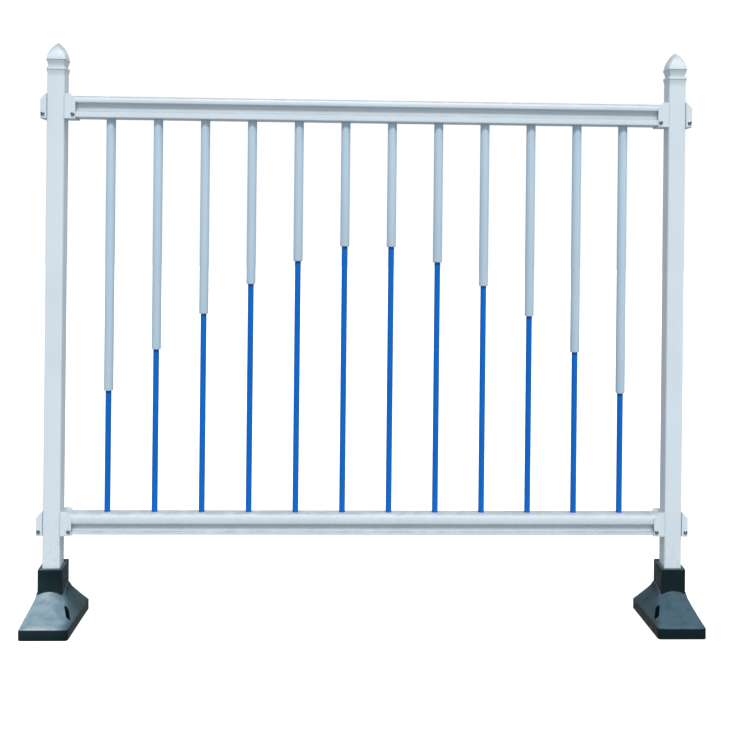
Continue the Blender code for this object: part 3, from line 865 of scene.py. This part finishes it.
def make_post_bolt(side, level_name):
    """The bolt, its domed head outside the outer plate, and its nut inside the rail's end."""
    node = f"{side}_{level_name}_post_bolt"
    low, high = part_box(node)
    plane = (low.y + high.y) / 2
    post = centre_of(f"{side}_post")
    sign = SIDES[side]
    head_radius = (high.y - low.y) / 2
    outer_low, outer_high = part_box(f"{side}_{level_name}_outer_bracket")
    seat = min(abs(outer_low.x), abs(outer_high.x)) + BRACKET_PLATE + GAP
    head_start = seat - abs(post.x)
    head_height = max(abs(low.x), abs(high.x)) - seat
    shank_end = abs(post.x) - min(abs(low.x), abs(high.x))
    loops = list(reversed(domed(head_radius, head_height, -head_start, -1)))
    shank = [(BOLT_RADIUS, -head_start)]
    for i in range(ceil((THREAD_LENGTH - THREAD_RUN_OUT) / THREAD_PITCH)):
        z = shank_end - THREAD_LENGTH + i * THREAD_PITCH
        shank += [(BOLT_RADIUS, z), (BOLT_RADIUS - THREAD_DEPTH, z + THREAD_PITCH / 2)]
    end_length, end_share = BOLT_END
    shank += [(BOLT_RADIUS, shank_end - end_length), (BOLT_RADIUS * end_share, shank_end)]
    loops += [circle(radius, z, SMALL_ROUND) for radius, z in shank]
    mesh = loft("bolt", loops)
    recess = loft("recess", [hexagon(flats, -head_start - head_height * up) for flats, up in BOLT_RECESS])
    mesh = cut(mesh, recess)
    inwards = Matrix.Rotation(-sign * pi / 2, 4, "Y")
    mesh.transform(inwards)
    add_piece(f"{side}_{level_name}_dome_bolt", mesh, ZINC, [node], (post.x, plane, (low.z + high.z) / 2))
    node = f"{side}_{level_name}_post_nut"
    nut_low, nut_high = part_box(node)
    thickness = nut_high.x - nut_low.x
    flats = min(nut_high.z - nut_low.z, nut_high.y - nut_low.y)
    start = abs(post.x) - max(abs(nut_low.x), abs(nut_high.x))
    mesh = nut_mesh(flats, thickness, start)
    mesh.transform(inwards)
    spot = (post.x, plane, (nut_low.z + nut_high.z) / 2)
    add_piece(f"{side}_{level_name}_hex_nut", mesh, ZINC, [node], spot)


def nut_mesh(flats, thickness, start):
    """A hexagon nut whose corners are turned down by a cone at both faces."""
    across = flats / cos(pi / 6) / 2
    face, end = flats / 2 * NUT_FACE, start + thickness
    body = loft("nut", [hexagon(flats, start), hexagon(flats, end)])
    turned = ((face, start), (across, start + NUT_CHAMFER), (across, end - NUT_CHAMFER), (face, end))
    rounded = combined(body, loft("cone", [circle(radius, z) for radius, z in turned]), "INTERSECT")
    bore = rod_along("Z", BOLT_RADIUS + HOLE_PLAY, start - thickness, end + thickness)
    return cut(rounded, bore)


def make_set_screw(side):
    node = f"{side}_foot_set_screw"
    low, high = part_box(node)
    middle = (low + high) / 2
    foot_middle = centre_of(f"{side}_post")
    seat = COLLAR_BACK + GAP
    top = high.y - foot_middle.y
    tip = low.y - foot_middle.y
    across = SET_SCREW_FLATS / cos(pi / 6) / 2
    head = loft("head", [hexagon(SET_SCREW_FLATS, seat), hexagon(SET_SCREW_FLATS, top)])
    face = SET_SCREW_FLATS / 2 * SET_SCREW_FACE
    turned = ((across, seat), (across, top - NUT_CHAMFER), (face, top))
    head = combined(head, loft("cone", [circle(radius, z) for radius, z in turned]), "INTERSECT")
    steps = ((SET_SCREW_TIP, tip), (1.0, tip + 2 * GAP), (1.0, seat + 0.001))
    shank = loft("shank", [circle(SET_SCREW_RADIUS * share, z, SMALL_ROUND) for share, z in steps])
    mesh = combined(head, shank, "UNION")
    mesh.transform(Matrix.Rotation(-pi / 2, 4, "X"))
    add_piece(f"{side}_foot_lock_screw", mesh, ZINC, [node], (middle.x, foot_middle.y, middle.z))


# ---- studio -------------------------------------------------------------------------------------


def make_camera():
    camera = bpy.data.objects.new("camera", bpy.data.cameras.new("camera"))
    bpy.context.scene.collection.objects.link(camera)
    plane = centre_of("top_rail").y
    camera.location = (CAMERA_ACROSS, plane - CAMERA_BACK, CAMERA_HEIGHT)
    ahead = Vector((sin(CAMERA_YAW), cos(CAMERA_YAW), 0.0))
    level_turn = ahead.to_track_quat("-Z", "Y").to_matrix()
    camera.rotation_euler = (level_turn @ Matrix.Rotation(CAMERA_ROLL, 3, "Z")).to_euler()
    camera.data.lens = CAMERA_LENS
    camera.data.shift_x, camera.data.shift_y = CAMERA_SHIFT
    camera.data.clip_end = 100.0
    bpy.context.scene.camera = camera


def aim(lamp, azimuth, elevation, distance, target):
    """Puts a lamp at a compass direction from the target, 0 being the front, and points it there."""
    a, e = radians(azimuth), radians(elevation)
    away = Vector((sin(a) * cos(e), -cos(a) * cos(e), sin(e)))
    lamp.location = Vector(target) + away * distance
    lamp.rotation_euler = (-away).to_track_quat("-Z", "Y").to_euler()


def add_sun(name, azimuth, elevation, strength, spread):
    """A distant lamp, as wide as spread degrees so that its shadows are soft."""
    data = bpy.data.lights.new(name, "SUN")
    data.energy = strength
    data.angle = radians(spread)
    lamp = bpy.data.objects.new(name, data)
    bpy.context.scene.collection.objects.link(lamp)
    aim(lamp, azimuth, elevation, SUN_DISTANCE, AIM_AT)


def add_spot(name, azimuth, elevation, distance, radius, cone, power, target):
    """A lamp with a narrow cone, so that it lights only what is near its target."""
    data = bpy.data.lights.new(name, "SPOT")
    data.energy = power
    data.color = TOE_LAMP_TINT
    data.spot_size = radians(cone)
    data.spot_blend = 0.4
    data.shadow_soft_size = radius
    lamp = bpy.data.objects.new(name, data)
    bpy.context.scene.collection.objects.link(lamp)
    aim(lamp, azimuth, elevation, distance, target)
    lamp.visible_camera = False


def make_floor():
    """A pale floor that glows a little and throws no light on the barrier, so that shadows stay faint."""
    mesh_bm = bmesh.new()
    bmesh.ops.create_grid(mesh_bm, x_segments=1, y_segments=1, size=FLOOR_HALF)
    floor = bpy.data.objects.new("floor", new_mesh("floor", mesh_bm))
    bpy.context.scene.collection.objects.link(floor)
    floor.location = (0.0, 0.0, -FLOOR_DROP)
    s = Shader("pale_floor")
    shade = s.mix(s.noise(3.0, 3.0), (0.36, 0.36, 0.36), (0.38, 0.38, 0.38))
    rough = s.remap(s.noise(12.0), 0.3, 0.7, 0.75, 0.9)
    glow = {"Emission_Color": (1.0, 1.0, 1.0, 1.0), "Emission_Strength": FLOOR_GLOW}
    floor.data.materials.append(s.finish(shade, rough, s.bump(s.noise(300.0), 0.05, 0.0005), **glow))
    floor.visible_diffuse = False
    floor.visible_glossy = False


def make_world():
    """A soft white room, bright above and dim below; the camera itself sees it as plain white."""
    world = bpy.data.worlds.new("studio")
    bpy.context.scene.world = world
    world.use_nodes = True
    nodes, links = world.node_tree.nodes, world.node_tree.links
    seen = nodes["Background"]
    seen.inputs["Color"].default_value = (1.0, 1.0, 1.0, 1.0)
    seen.inputs["Strength"].default_value = SEEN_ROOM
    fill = nodes.new("ShaderNodeBackground")
    fill.inputs["Color"].default_value = ROOM_TINT
    height = nodes.new("ShaderNodeSeparateXYZ")
    level = nodes.new("ShaderNodeMapRange")
    level.inputs["From Min"].default_value = -0.5
    level.inputs["From Max"].default_value = 0.5
    level.inputs["To Min"].default_value = ROOM_BELOW
    level.inputs["To Max"].default_value = ROOM_ABOVE
    path = nodes.new("ShaderNodeLightPath")
    mix = nodes.new("ShaderNodeMixShader")
    links.new(nodes.new("ShaderNodeTexCoord").outputs["Generated"], height.inputs[0])
    links.new(height.outputs["Z"], level.inputs["Value"])
    links.new(level.outputs["Result"], fill.inputs["Strength"])
    links.new(path.outputs["Is Camera Ray"], mix.inputs[0])
    links.new(fill.outputs[0], mix.inputs[1])
    links.new(seen.outputs[0], mix.inputs[2])
    links.new(mix.outputs[0], nodes["World Output"].inputs[0])


def make_studio():
    make_camera()
    make_floor()
    make_world()
    add_sun("key", 0.0, 60.0, 3.1, 10.0)
    add_sun("right_side", 72.0, 58.0, 0.75, 12.0)
    add_spot("left_toe", -60.0, 64.0, 1.6, 0.015, 5.4, 480.0, TOE_LAMP_AIM)
    bpy.context.scene.view_settings.view_transform = "Standard"


# ---- the barrier --------------------------------------------------------------------------------

for side_name in SIDES:
    make_foot(side_name)
    make_set_screw(side_name)
    make_post(side_name)
    make_cap(side_name)
    for level in LEVELS:
        make_post_bolt(side_name, level)
        for place_name in ("inner", "outer"):
            make_bracket(side_name, level, place_name)
            make_screw(side_name, level, place_name)
for level in LEVELS:
    make_rail(level)
make_balusters()
make_studio()
